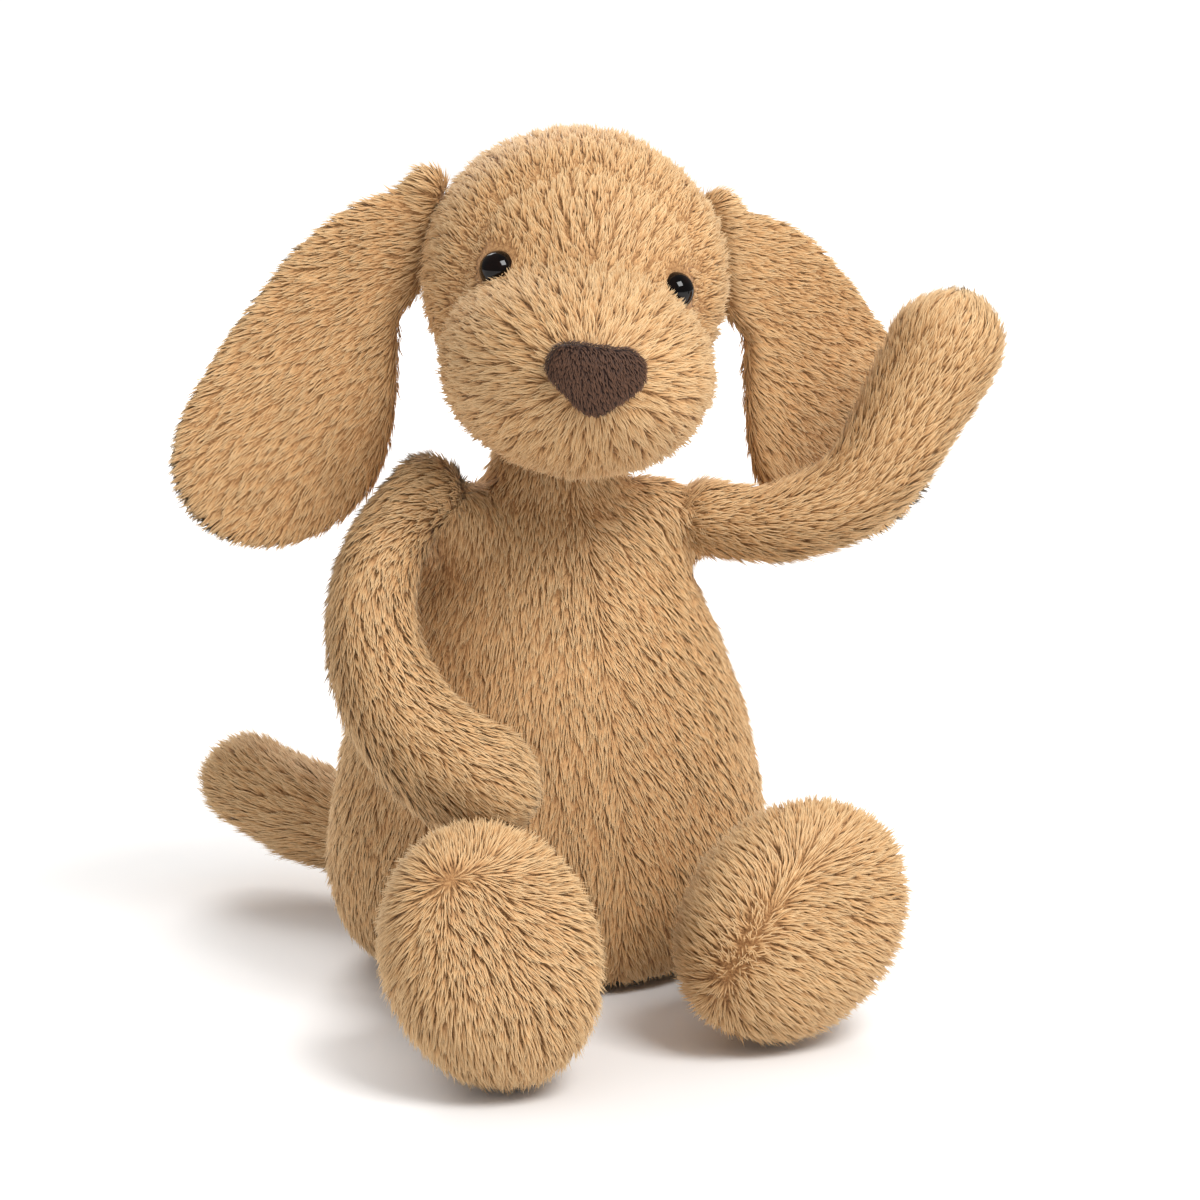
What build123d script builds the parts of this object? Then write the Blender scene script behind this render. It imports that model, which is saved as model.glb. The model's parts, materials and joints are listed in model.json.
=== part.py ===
from build123d import *

import math
import os

# A sitting plush puppy with long sewn-on ears, floppy stuffed limbs and one paw raised.
#
# Z is up, the puppy faces -Y, its right side is -X, and the origin is the middle of the flat seat.
# Each soft part is a pile fabric skin, cut into the panels that are sewn together, round its own
# stuffing. A limb starts in a round root that turns in a hollow of the body, with the gathered
# knot of its seam at the middle, and an elbow or ankle bends round a ball of stuffing.

# ---------------------------------------------------------------- fabric and fit (mm)
skin = 4.0  # backing cloth and dense pile
fill_gap = 0.2  # between a skin and the stuffing inside it
joint_gap = 0.7  # between a round root and the hollow that it turns in
knot_radius = 2.6  # gathered seam and thread at the middle of a sewn joint
knot_gap = 0.4
limb_steps = 7  # sections along a limb, before its rounded end
limb_end_left = (0.66, 0.36, 0.15, 0.03)  # share of the rounded end still to go at each of its sections

# ---------------------------------------------------------------- body
# (height, half width, half depth) of the pear-shaped body, from the seat to the neck
body_sections = [
    (0.0, 41.0, 37.0),
    (5.0, 50.0, 45.0),
    (16.0, 56.5, 49.0),
    (32.0, 58.0, 49.5),
    (54.0, 55.0, 45.5),
    (77.0, 48.0, 39.0),
    (98.0, 39.0, 32.0),
    (112.0, 30.5, 26.0),
    (121.0, 21.5, 19.5),
    (125.0, 15.0, 14.0),
]
seat_seam_height = 5.0
bean_bag_height = 27.0
neck_pivot = (0.5, -2.0, 121.0)
neck_radius = 18.5

# ---------------------------------------------------------------- head, in its own frame
head_centre = (5.5, -4.0, 172.0)
head_turn = -18.0  # towards the puppy's right
head_roll = 7.5  # towards the puppy's left
cranium_half_width, cranium_half_depth, cranium_half_height = 39.5, 38.0, 38.5
muzzle_half_width, muzzle_half_depth, muzzle_half_height = 35.0, 41.0, 28.0
muzzle_forward, muzzle_down = 29.0, 18.0
muzzle_seam = 21.0  # how far forward the seam between the muzzle and the cheeks runs
nose_width, nose_top_width, nose_thick = 27.5, 16.5, 2.4
nose_height_above, nose_height_below = 5.5, 11.0  # of its widest line, before its corners are rounded
nose_corner = 5.0
nose_down = 13.5  # from the middle of the head to the nose's widest line
eye_radius = 4.6
eye_sunk = 1.2  # how far the flat back of the eye sits in the pile
eye_stem_radius, eye_stem_length = 1.5, 9.0
eye_spread, eye_up = 23.4, 2.8
washer_radius, washer_thick = 6.0, 1.6
hardware_gap = 0.1

# ---------------------------------------------------------------- ears
ear_half_thick = 4.5
ear_edge = 3.6  # how far the two faces of the ear draw in towards their edge
# (share of the half thickness, share of ear_edge)
ear_layers = [(-1.0, 1.0), (-0.6, 0.3), (0.0, 0.0), (0.6, 0.3), (1.0, 1.0)]
ear_middle = (36.0, -38.0)
ear_seam_half = 14.0
ear_seam_back = 8.0
ear_seam_up_right, ear_seam_up_left = 4.0, 8.0
ear_seam_stand = 1.2  # how far the sewn edge stands out of the head
ear_seam_lean = 9.0  # the sewn edge leans in at the top, as the side of the head does
ear_left_back = 9.0  # how far the raised arm pushes the left ear back
# (outwards, up) round a hanging ear, from beyond the top of its sewn edge
ear_outline = [
    (20, 8),
    (41, -11),
    (60, -37),
    (64, -54),
    (57, -67),
    (42, -75),
    (25, -73),
    (9, -60),
    (3, -38),
]

# ---------------------------------------------------------------- arms
arm_root_radius = 11.5
elbow_radius = 12.5
elbow_slack = 10.0  # from the middle of the elbow to where the forearm starts
# (share of the length, radius)
arm_sizes = [(0.0, 10.5), (0.35, 12.7), (0.7, 15.2), (1.0, 16.8)]
arm_right_line = [
    (-36, -10, 122),
    (-52, -19, 107),
    (-58, -31, 88),
    (-54, -44, 72),
    (-39, -57, 59),
    (-29, -62, 54),
]
arm_left_line = [
    (37, -15, 112),
    (53, -27, 112),
    (69, -35, 121),
    (81, -39, 140),
    (90, -41, 158),
    (93, -42, 170),
]
elbow_share_right = 0.36
elbow_share_left = 0.36

# ---------------------------------------------------------------- legs
leg_root_radius = 13.5
ankle_radius = 12.5
leg_sizes = [(0.0, 12.3), (1.0, 12.0)]
hip_right, ankle_right = (-45.0, -44.0, 14.6), (-53.5, -72.0, 19.0)
hip_left, ankle_left = (44.0, -45.0, 14.6), (30.0, -69.0, 22.0)
foot_half_width, foot_half_length, foot_thick = 26.5, 32.5, 37.0
sole_thick = 15.0  # in front of the seam round the sole
# (share of the thickness from the back of the foot, share of its half width and length)
foot_swell = [(0.0, 0.35), (0.1, 0.66), (0.25, 0.88), (0.5, 1.0), (0.75, 0.97), (0.92, 0.8), (1.0, 0.55)]
foot_right_centre, foot_left_centre = (-55.0, -92.5), (22.0, -90.0)
foot_right_turn, foot_left_turn = -4.0, 4.0  # which way the sole faces, from straight ahead
foot_right_tip, foot_left_tip = 34.0, 8.0  # how far the sole faces up
foot_right_spin, foot_left_spin = 4.0, -52.0  # how far the toes fall over to the side
floor_gap = 0.2

# ---------------------------------------------------------------- tail
tail_root_radius = 12.5
tail_sizes = [(0.0, 11.5), (0.45, 15.0), (1.0, 13.5)]
tail_line = [(-17, 51, 20), (-27, 69, 20), (-38, 88, 24), (-50, 111, 33)]

# ---------------------------------------------------------------- care label
label_width, label_length, label_thick = 15.0, 14.0, 0.6
label_height = 64.0
label_sunk = 4.0


def ball(centre, radius, along=(0, 0, 1)):
    """A ball, for a round root, its hollow or a knot, with its poles along a limb."""
    with BuildPart(Plane(origin=centre, z_dir=along)) as made:
        Sphere(radius)
    return made.part


def fuse(*solids):
    """One solid out of several."""
    with BuildPart() as made:
        for solid in solids:
            add(solid)
    return made.part


def cut(solid, *tools):
    """What is left of a solid when the tools are taken away."""
    with BuildPart() as made:
        add(solid)
        for tool in tools:
            add(tool, mode=Mode.SUBTRACT)
    return made.part


def common(solid, other):
    """What two solids share."""
    with BuildPart() as made:
        add(solid)
        add(other, mode=Mode.INTERSECT)
    return made.part


def half(solid, plane, keep):
    """The part of a solid on one side of a plane."""
    with BuildPart() as made:
        add(solid)
        split(bisect_by=plane, keep=keep)
    return made.part


def save(solid, label):
    """Writes one finished piece."""
    solid.label = label
    export_step(solid, f"parts/{label}.step")


def ellipsoid(half_sizes, centre):
    """An ellipsoid with its half sizes along X, Y and Z."""
    with BuildPart() as made:
        Sphere(1.0)
        scale(by=half_sizes)
    return made.part.moved(Location(centre))


def size_at(sizes, share, column=1):
    """A size between two rows of a list of (share, size, ...), part of the way along."""
    for low, high in zip(sizes, sizes[1:]):
        if share <= high[0]:
            part_way = (share - low[0]) / (high[0] - low[0])
            return low[column] + (high[column] - low[column]) * part_way
    return sizes[-1][column]


def limb_form(line, sizes, inset):
    """A stuffed limb: round sections along a smooth line, closing round its far end."""
    with BuildLine():
        spine = Spline(*line)
    length = spine.length
    cap = sizes[-1][1]
    along = [(length - cap) * step / limb_steps for step in range(limb_steps + 1)]
    along += [length - cap * left for left in limb_end_left]
    across = Vector(0, 1, 0)
    with BuildPart() as made:
        for distance in along:
            end = min((length - distance) / cap, 1.0)
            share = distance / length
            where = (length - inset) * share / length
            forward = spine % where
            across = (across - forward * across.dot(forward)).normalized()
            with BuildSketch(Plane(origin=spine @ where, x_dir=across, z_dir=forward)):
                Circle((size_at(sizes, share) - inset) * math.sqrt((2 - end) * end))
        loft()
    return made.part


def straight_form(start, end, sizes, inset):
    """A straight stuffed tube from the middle of one joint to the middle of the next."""
    along = Vector(*end) - Vector(*start)
    base = Plane(origin=start, z_dir=along)
    with BuildPart() as made:
        for share, radius in sizes:
            with BuildSketch(base.offset(along.length * share)):
                Circle(radius - inset)
        loft()
    return made.part


def body_form(inset):
    """The pear-shaped body with the round top that the head sits on."""
    height = body_sections[-1][0]
    with BuildPart() as made:
        for level, half_width, half_depth in body_sections:
            raised = inset + level * (height - 2 * inset) / height
            with BuildSketch(Plane.XY.offset(raised)):
                Ellipse(half_width - inset, half_depth - inset)
        loft()
    return fuse(made.part, ball(neck_pivot, neck_radius - inset))


def muzzle_form(grown):
    """The muzzle, in the head's frame, larger all round by grown."""
    return ellipsoid(
        (muzzle_half_width + grown, muzzle_half_depth + grown, muzzle_half_height + grown),
        (0, -muzzle_forward, -muzzle_down),
    )


def head_form(inset):
    """The cranium and the muzzle together, in the head's frame."""
    cranium = ellipsoid(
        (cranium_half_width - inset, cranium_half_depth - inset, cranium_half_height - inset),
        (0, 0, 0),
    )
    return fuse(cranium, muzzle_form(-inset))


# ---------------------------------------------------------------- where the limbs are sewn on
arm_roots = {"right": arm_right_line[0], "left": arm_left_line[0]}
hips = {"right": hip_right, "left": hip_left}
body_hollows = [ball(root, arm_root_radius + joint_gap) for root in arm_roots.values()]
body_hollows += [ball(hip, leg_root_radius + joint_gap) for hip in hips.values()]
body_hollows.append(ball(tail_line[0], tail_root_radius + joint_gap))

os.makedirs("parts", exist_ok=True)

# ---------------------------------------------------------------- body
body_skin = cut(body_form(0), body_form(skin), *body_hollows)
seat_seam = Plane.XY.offset(seat_seam_height)
middle_seam = Plane.YZ
side_seam = Plane.XZ

seat_panel = half(body_skin, seat_seam, Keep.BOTTOM)
save(seat_panel, "seat_panel")
body_wall = half(body_skin, seat_seam, Keep.TOP)
body_halves = {
    "left": half(body_wall, middle_seam, Keep.TOP),
    "right": half(body_wall, middle_seam, Keep.BOTTOM),
}
for side, body_half in body_halves.items():
    save(half(body_half, side_seam, Keep.TOP), f"body_front_{side}_panel")
    save(half(body_half, side_seam, Keep.BOTTOM), f"body_back_{side}_panel")

neck_knot_hollow = ball(neck_pivot, knot_radius + knot_gap)
body_inside = cut(body_form(skin + fill_gap), *body_hollows, neck_knot_hollow)
save(half(body_inside, Plane.XY.offset(bean_bag_height + fill_gap), Keep.TOP), "body_stuffing")
save(half(body_inside, Plane.XY.offset(bean_bag_height), Keep.BOTTOM), "bean_bag")
save(ball(neck_pivot, knot_radius), "neck_knot")

# a blank label sewn into the seam down the back
label_reach = size_at(body_sections, label_height, 2)
with BuildPart() as care_label:
    with Locations((0, label_reach + label_length / 2 - label_sunk, label_height)):
        Box(label_thick, label_length, label_width)
save(cut(care_label.part, body_form(0)), "care_label")

# ---------------------------------------------------------------- head
head_place = Location(head_centre, (0, 0, head_turn)) * Location((0, 0, 0), (0, head_roll, 0))
neck_in_head = head_place.inverse() * Location(neck_pivot)
neck_hollow = ball(neck_in_head.position, neck_radius + joint_gap)


def eye_plane(side):
    """On the cranium's surface, looking straight out of it."""
    x = side * eye_spread
    depth = math.sqrt(1 - (x / cranium_half_width) ** 2 - (eye_up / cranium_half_height) ** 2)
    y = -cranium_half_depth * depth
    outwards = Vector(x / cranium_half_width**2, y / cranium_half_depth**2, eye_up / cranium_half_height**2)
    return Plane(origin=(x, y, eye_up), x_dir=(0, 0, 1), z_dir=outwards)


def eye_form(plane, gap):
    """A half ball with its stem, grown by gap for the hole that it fills."""
    with BuildPart(plane.offset(-eye_sunk)) as dome:
        Sphere(eye_radius + gap, arc_size1=0)
    with BuildPart(plane.offset(-eye_sunk)) as stem:
        Cylinder(eye_stem_radius + gap, eye_stem_length, align=(Align.CENTER, Align.CENTER, Align.MAX))
    return fuse(dome.part, stem.part)


def washer_form(plane, gap):
    """The disc that holds an eye from inside the fabric."""
    with BuildPart(plane.offset(-skin - fill_gap)) as washer:
        Cylinder(
            washer_radius + gap,
            washer_thick + 2 * gap,
            align=(Align.CENTER, Align.CENTER, Align.MAX),
        )
    return washer.part


def capsule(half_length, radius, direction):
    """A round-ended rod through the origin."""
    end = Vector(*direction).normalized() * half_length
    with BuildPart(Plane(origin=(0, 0, 0), z_dir=direction)) as rod:
        Cylinder(radius, 2 * half_length)
    return fuse(rod.part, ball(end, radius), ball(-end, radius))


def ear_place(side):
    """The middle of the sewn edge; X runs outwards along the ear and Y runs up it."""
    ear_seam_up = ear_seam_up_left if side > 0 else ear_seam_up_right
    across = 1 - (ear_seam_back / cranium_half_depth) ** 2 - (ear_seam_up / cranium_half_height) ** 2
    reach = cranium_half_width * math.sqrt(across) + ear_seam_stand
    middle = head_place * Location((side * reach, ear_seam_back, ear_seam_up))
    back = math.radians(ear_left_back) if side > 0 else 0.0
    return Plane(
        origin=middle.position,
        x_dir=(side * math.cos(back), math.sin(back), 0),
        z_dir=(math.sin(back), -side * math.cos(back), 0),
    )


seam_direction = (-math.sin(math.radians(ear_seam_lean)), math.cos(math.radians(ear_seam_lean)), 0)


def ear_form():
    """One floppy ear in its own plane, with its rolled and sewn edge."""
    top = (seam_direction[0] * ear_seam_half, seam_direction[1] * ear_seam_half)
    bottom = (-top[0], -top[1])
    middle = Vector(*ear_middle)
    with BuildPart() as flap:
        for level, drawn_in in ear_layers:
            drawn = []
            for point in (top, *ear_outline, bottom):
                outwards = Vector(*point) - middle
                drawn.append(middle + outwards * (1 - ear_edge * drawn_in / outwards.length))
            with BuildSketch(Plane.XY.offset(ear_half_thick * level)):
                with BuildLine():
                    Spline(*drawn)
                    Line(drawn[-1], drawn[0])
                make_face()
        loft()
    return fuse(flap.part, capsule(ear_seam_half, ear_half_thick, seam_direction))


ear_hollows = []
for side_name, side in (("right", -1), ("left", 1)):
    place = ear_place(side)
    hollow = capsule(ear_seam_half, ear_half_thick + joint_gap, seam_direction)
    ear_hollows.append(hollow.moved(head_place.inverse() * place.location))
    ear = ear_form()
    front_keep, back_keep = (Keep.TOP, Keep.BOTTOM) if side > 0 else (Keep.BOTTOM, Keep.TOP)
    save(half(ear, Plane.XY, front_keep).moved(place.location), f"ear_{side_name}_front_panel")
    save(half(ear, Plane.XY, back_keep).moved(place.location), f"ear_{side_name}_back_panel")

head_outer = head_form(0)
eye_planes = {"right": eye_plane(-1), "left": eye_plane(1)}
eye_holes = [eye_form(plane, hardware_gap) for plane in eye_planes.values()]
washer_holes = [washer_form(plane, hardware_gap) for plane in eye_planes.values()]
head_skin = cut(head_outer, head_form(skin), neck_hollow, *ear_hollows, *eye_holes, *washer_holes)
muzzle_cut = Plane.XZ.offset(muzzle_seam)

save(half(head_skin, muzzle_cut, Keep.TOP).moved(head_place), "muzzle_panel")
cheeks = half(head_skin, muzzle_cut, Keep.BOTTOM)
save(half(cheeks, Plane.YZ, Keep.TOP).moved(head_place), "head_left_panel")
save(half(cheeks, Plane.YZ, Keep.BOTTOM).moved(head_place), "head_right_panel")
head_inside = cut(head_form(skin + fill_gap), neck_hollow, *ear_hollows, *eye_holes, *washer_holes)
save(head_inside.moved(head_place), "head_stuffing")

for side_name, plane in eye_planes.items():
    eye = eye_form(plane, 0)
    save(eye.moved(head_place), f"eye_{side_name}")
    washer = cut(washer_form(plane, 0), eye_form(plane, hardware_gap))
    save(washer.moved(head_place), f"eye_{side_name}_washer")

# a rounded shield of short pile, lying on the tip of the muzzle
nose_plane = Plane(origin=(0, -muzzle_forward, -nose_down), x_dir=(1, 0, 0), z_dir=(0, -1, 0))
with BuildPart() as nose_block:
    with BuildSketch(nose_plane):
        with BuildLine():
            Polyline(
                (-nose_top_width / 2, nose_height_above),
                (nose_top_width / 2, nose_height_above),
                (nose_width / 2, 0),
                (0, -nose_height_below),
                (-nose_width / 2, 0),
                close=True,
            )
        make_face()
    extrude(amount=muzzle_half_depth + nose_thick)
    fillet(nose_block.edges().filter_by(Axis.Y), nose_corner)
nose = cut(common(nose_block.part, muzzle_form(nose_thick)), head_outer)
save(nose.moved(head_place), "nose")


# ---------------------------------------------------------------- arms
def arm_pieces(line, elbow_share):
    """The skins and stuffings of one arm, above and below its elbow."""
    with BuildLine():
        spine = Spline(*line)
    elbow = spine @ elbow_share
    along = spine % elbow_share
    elbow_plane = Plane(origin=elbow, z_dir=along)

    def upper(inset):
        tube = half(limb_form(line, arm_sizes, inset), elbow_plane, Keep.BOTTOM)
        root = ball(line[0], arm_root_radius - inset, spine % 0)
        return fuse(tube, ball(elbow, elbow_radius - inset, along), root)

    def lower(inset):
        start = elbow_plane.offset(elbow_slack + inset)
        tube = half(limb_form(line, arm_sizes, inset), start, Keep.TOP)
        return cut(tube, ball(elbow, elbow_radius + joint_gap + inset, along))

    return {
        "upper_arm_{}_skin": cut(upper(0), upper(skin)),
        "upper_arm_{}_stuffing": cut(upper(skin + fill_gap), ball(line[0], knot_radius + knot_gap)),
        "paw_{}_skin": cut(lower(0), lower(skin)),
        "paw_{}_stuffing": lower(skin + fill_gap),
        "shoulder_{}_knot": ball(line[0], knot_radius),
    }


for side_name, line, elbow_share in (
    ("right", arm_right_line, elbow_share_right),
    ("left", arm_left_line, elbow_share_left),
):
    for label, piece in arm_pieces(line, elbow_share).items():
        save(piece, label.format(side_name))


# ---------------------------------------------------------------- legs
def foot_plane(centre, turn, tip, spin):
    """The middle of a foot; Z runs out of its sole and Y towards its toes."""
    facing = Location((0, 0, 0), (0, 0, turn)) * Location((0, 0, 0), (90 - tip, 0, 0))
    upright = Plane(facing * Location((0, 0, 0), (0, 0, spin)))
    rise = math.hypot(
        upright.x_dir.Z * foot_half_width,
        upright.y_dir.Z * foot_half_length,
        upright.z_dir.Z * foot_thick / 2,
    )
    return Plane(origin=(*centre, rise + floor_gap), x_dir=upright.x_dir, z_dir=upright.z_dir)


def foot_form(plane, inset):
    """A plump oval foot, flatter towards its sole."""
    with BuildPart() as made:
        for share, swell in foot_swell:
            distance = inset + (foot_thick - 2 * inset) * share - foot_thick / 2
            with BuildSketch(plane.offset(distance)):
                Ellipse((foot_half_width - inset) * swell, (foot_half_length - inset) * swell)
        loft()
    return made.part


def leg_pieces(hip, ankle, plane):
    """The skins and stuffings of one leg and foot."""
    along = Vector(*ankle) - Vector(*hip)

    def thigh(inset):
        tube = straight_form(hip, ankle, leg_sizes, inset)
        root = ball(hip, leg_root_radius - inset, along)
        return fuse(tube, root, ball(ankle, ankle_radius - inset, along))

    def foot(inset):
        return cut(foot_form(plane, inset), ball(ankle, ankle_radius + joint_gap + inset, plane.z_dir))

    foot_skin = cut(foot(0), foot(skin))
    sole_seam = plane.offset(foot_thick / 2 - sole_thick)
    return {
        "thigh_{}_skin": cut(thigh(0), thigh(skin)),
        "thigh_{}_stuffing": cut(thigh(skin + fill_gap), ball(hip, knot_radius + knot_gap)),
        "hip_{}_knot": ball(hip, knot_radius),
        "foot_{}_upper": half(foot_skin, sole_seam, Keep.BOTTOM),
        "foot_{}_sole": half(foot_skin, sole_seam, Keep.TOP),
        "foot_{}_beans": foot(skin + fill_gap),
    }


for side_name, hip, ankle, centre, turn, tip, spin in (
    ("right", hip_right, ankle_right, foot_right_centre, foot_right_turn, foot_right_tip, foot_right_spin),
    ("left", hip_left, ankle_left, foot_left_centre, foot_left_turn, foot_left_tip, foot_left_spin),
):
    for label, piece in leg_pieces(hip, ankle, foot_plane(centre, turn, tip, spin)).items():
        save(piece, label.format(side_name))


# ---------------------------------------------------------------- tail
def tail_form(inset):
    """The tail with its round root."""
    return fuse(limb_form(tail_line, tail_sizes, inset), ball(tail_line[0], tail_root_radius - inset))


save(cut(tail_form(0), tail_form(skin)), "tail_skin")
save(cut(tail_form(skin + fill_gap), ball(tail_line[0], knot_radius + knot_gap)), "tail_stuffing")
save(ball(tail_line[0], knot_radius), "tail_knot")
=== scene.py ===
import json
import math

import bmesh
import bpy
import numpy as np
from mathutils import Matrix, Vector
from mathutils.bvhtree import BVHTree


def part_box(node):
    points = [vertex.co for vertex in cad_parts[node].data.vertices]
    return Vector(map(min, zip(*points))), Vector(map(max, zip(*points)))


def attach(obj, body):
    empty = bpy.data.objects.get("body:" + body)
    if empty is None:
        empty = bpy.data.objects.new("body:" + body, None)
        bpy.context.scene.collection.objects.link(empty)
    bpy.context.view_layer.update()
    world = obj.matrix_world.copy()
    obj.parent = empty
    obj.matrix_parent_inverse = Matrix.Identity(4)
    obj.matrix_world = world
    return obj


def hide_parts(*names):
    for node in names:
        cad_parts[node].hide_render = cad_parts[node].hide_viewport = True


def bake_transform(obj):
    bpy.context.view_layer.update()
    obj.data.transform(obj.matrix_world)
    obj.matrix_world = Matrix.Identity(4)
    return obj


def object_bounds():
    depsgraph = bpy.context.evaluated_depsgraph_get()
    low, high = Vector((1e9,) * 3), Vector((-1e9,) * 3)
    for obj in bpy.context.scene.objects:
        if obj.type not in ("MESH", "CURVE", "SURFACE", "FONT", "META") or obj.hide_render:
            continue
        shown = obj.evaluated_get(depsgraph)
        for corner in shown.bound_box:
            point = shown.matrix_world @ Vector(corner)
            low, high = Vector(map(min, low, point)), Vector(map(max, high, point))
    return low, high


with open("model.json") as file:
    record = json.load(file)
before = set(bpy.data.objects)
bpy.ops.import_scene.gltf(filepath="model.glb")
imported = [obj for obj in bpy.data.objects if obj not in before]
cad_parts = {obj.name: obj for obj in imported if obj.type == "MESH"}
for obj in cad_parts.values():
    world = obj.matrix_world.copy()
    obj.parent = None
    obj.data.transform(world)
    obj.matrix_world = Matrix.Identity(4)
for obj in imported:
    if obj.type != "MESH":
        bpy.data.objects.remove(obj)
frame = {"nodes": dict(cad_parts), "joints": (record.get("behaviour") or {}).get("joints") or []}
cad_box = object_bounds()
scene = bpy.context.scene
mm = 0.001

# A floppy plush puppy, sitting with one paw raised. Every soft panel is one closed stuffed form
# under a coat of pile: thousands of small curved locks of fibre that follow the nap of the cloth.

# ---------------------------------------------------------------- small helpers


def colour(code, alpha=1.0):
    """An sRGB hex colour as linear light."""
    parts = [int(code[i:i + 2], 16) / 255 for i in (1, 3, 5)]
    return [c / 12.92 if c <= 0.04045 else ((c + 0.055) / 1.055) ** 2.4 for c in parts] + [alpha]


def add(tree, kind, inputs=None, stops=(), **settings):
    """One node with its settings. An input takes a value, or an output to be linked from; the
    stops are a colour ramp's."""
    node = tree.nodes.new(kind)
    for key, value in settings.items():
        setattr(node, key, value)
    for key, value in (inputs or {}).items():
        if isinstance(value, bpy.types.NodeSocket):
            tree.links.new(value, node.inputs[key])
        else:
            node.inputs[key].default_value = value
    if stops:
        elements = node.color_ramp.elements
        while len(elements) < len(stops):
            elements.new(0.5)
        for element, (place, shade) in zip(elements, stops):
            element.position, element.color = place, colour(shade)
    return node


def material(name, roughness, ior=1.5, **sockets):
    """A fresh material with its Principled shader; constants sit on the shader's own sockets."""
    made = bpy.data.materials.new(name)
    made.use_nodes = True
    shader = made.node_tree.nodes["Principled BSDF"]
    shader.inputs["Roughness"].default_value = roughness
    shader.inputs["IOR"].default_value = ior
    for key, value in sockets.items():
        shader.inputs[key.replace("_", " ")].default_value = value
    return made, made.node_tree, shader


def link_object(name, mesh):
    obj = bpy.data.objects.new(name, mesh)
    scene.collection.objects.link(obj)
    return obj


def settle(obj):
    """The modifiers become part of the mesh."""
    bpy.context.view_layer.update()
    depsgraph = bpy.context.evaluated_depsgraph_get()
    mesh = bpy.data.meshes.new_from_object(obj.evaluated_get(depsgraph), depsgraph=depsgraph)
    obj.modifiers.clear()
    obj.data = mesh
    return obj


def points_of(obj):
    co = np.empty(len(obj.data.vertices) * 3)
    obj.data.vertices.foreach_get("co", co)
    return co.reshape(-1, 3)


def normals_of(obj):
    found = np.empty(len(obj.data.vertices) * 3)
    obj.data.vertices.foreach_get("normal", found)
    return found.reshape(-1, 3)


def unit(v):
    return v / np.maximum(np.linalg.norm(v, axis=-1, keepdims=True), 1e-9)


# ---------------------------------------------------------------- materials


def patterned(tree, shader, kind, inputs, stops, **settings):
    """A pattern over the object, coloured by these stops, as the base colour; gives its height."""
    place = add(tree, "ShaderNodeTexCoord").outputs["Object"]
    pattern = add(tree, kind, {"Vector": place, **inputs}, **settings).outputs["Fac"]
    shade = add(tree, "ShaderNodeValToRGB", {"Fac": pattern}, stops).outputs["Color"]
    tree.links.new(shade, shader.inputs["Base Color"])
    return pattern


def embossed(tree, shader, height, strength, distance):
    """The same pattern in relief."""
    bump = add(tree, "ShaderNodeBump", {"Height": height, "Strength": strength, "Distance": distance})
    tree.links.new(bump.outputs["Normal"], shader.inputs["Normal"])


def plush_pile(name, root, shade, middle, tip, sheen):
    """Knitted polyester plush, brushed and sheared: fibre locks dark at the root, which is painted
    shade where light is lost between them, pale and slightly silky at the cut tip, each lock a few
    strands of differing tone."""
    made, tree, shader = material(name, 0.72, 1.5, Sheen_Weight=sheen, Sheen_Roughness=0.45)
    shader.inputs["Sheen Tint"].default_value = colour("#FFE9C8")
    # the pile's own map: across it a lock's tone and strands, up it the height along the lock
    place = add(tree, "ShaderNodeUVMap", uv_map="OFBake").outputs["UV"]
    split = add(tree, "ShaderNodeSeparateXYZ", {"Vector": place})
    narrow = add(tree, "ShaderNodeVectorMath", {0: place, 1: (90.0, 1.4, 1.0)}, operation="MULTIPLY")
    strands = add(tree, "ShaderNodeTexNoise",
                  {"Vector": narrow.outputs["Vector"], "Scale": 1.0, "Detail": 2.0})
    # the colour up each lock: the root and shade stops are painted shade low in the pile, above them the
    # fibre's own colour
    along = add(tree, "ShaderNodeValToRGB", {"Fac": split.outputs["Y"]},
                [(0.0, root), (0.28, shade), (0.62, middle), (1.0, tip)])
    along.color_ramp.interpolation = "B_SPLINE"
    strand_light = add(tree, "ShaderNodeMapRange", {"Value": strands.outputs["Fac"], "From Min": 0.3,
                                                    "From Max": 0.7, "To Min": 0.88, "To Max": 1.1})
    tone = add(tree, "ShaderNodeMapRange", {"Value": split.outputs["X"], "To Min": 0.87, "To Max": 1.12})
    light = add(tree, "ShaderNodeMath", {0: strand_light.outputs["Result"], 1: tone.outputs["Result"]},
                operation="MULTIPLY")
    final = add(tree, "ShaderNodeVectorMath", {0: along.outputs["Color"], "Scale": light.outputs["Value"]},
                operation="SCALE")
    tree.links.new(final.outputs["Vector"], shader.inputs["Base Color"])
    return made


def knitted_backing(name, dark, pale):
    """The knitted ground of the plush with its shortest fibres: a mottled dark gold, its own gold
    darkened with painted shade where it shows deep between the locks; its loops about 0.6 mm apart."""
    made, tree, shader = material(name, 0.9, 1.5, Sheen_Weight=0.2)
    loops = patterned(tree, shader, "ShaderNodeTexNoise", {"Scale": 1600.0, "Detail": 3.0},
                      [(0.35, dark), (0.65, pale)])
    embossed(tree, shader, loops, 0.6, 0.4 * mm)
    return made


def polished_plastic(name, deep, rim):
    """Moulded acrylic, tumbled to a polish: near black, hardly clouded, with a hard clear highlight."""
    made, tree, shader = material(name, 0.06, 1.38)
    patterned(tree, shader, "ShaderNodeTexNoise", {"Scale": 300.0, "Detail": 2.0},
              [(0.4, deep), (0.75, rim)])
    return made


def moulded_washer(name):
    """Moulded nylon locking washer, hidden in the stuffing: milky and slightly waxy, in 2 mm clouds."""
    made, tree, shader = material(name, 0.45, 1.53)
    patterned(tree, shader, "ShaderNodeTexNoise", {"Scale": 500.0, "Detail": 2.0},
              [(0.3, "#D8D2C4"), (0.7, "#ECE8DE")])
    return made


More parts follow.
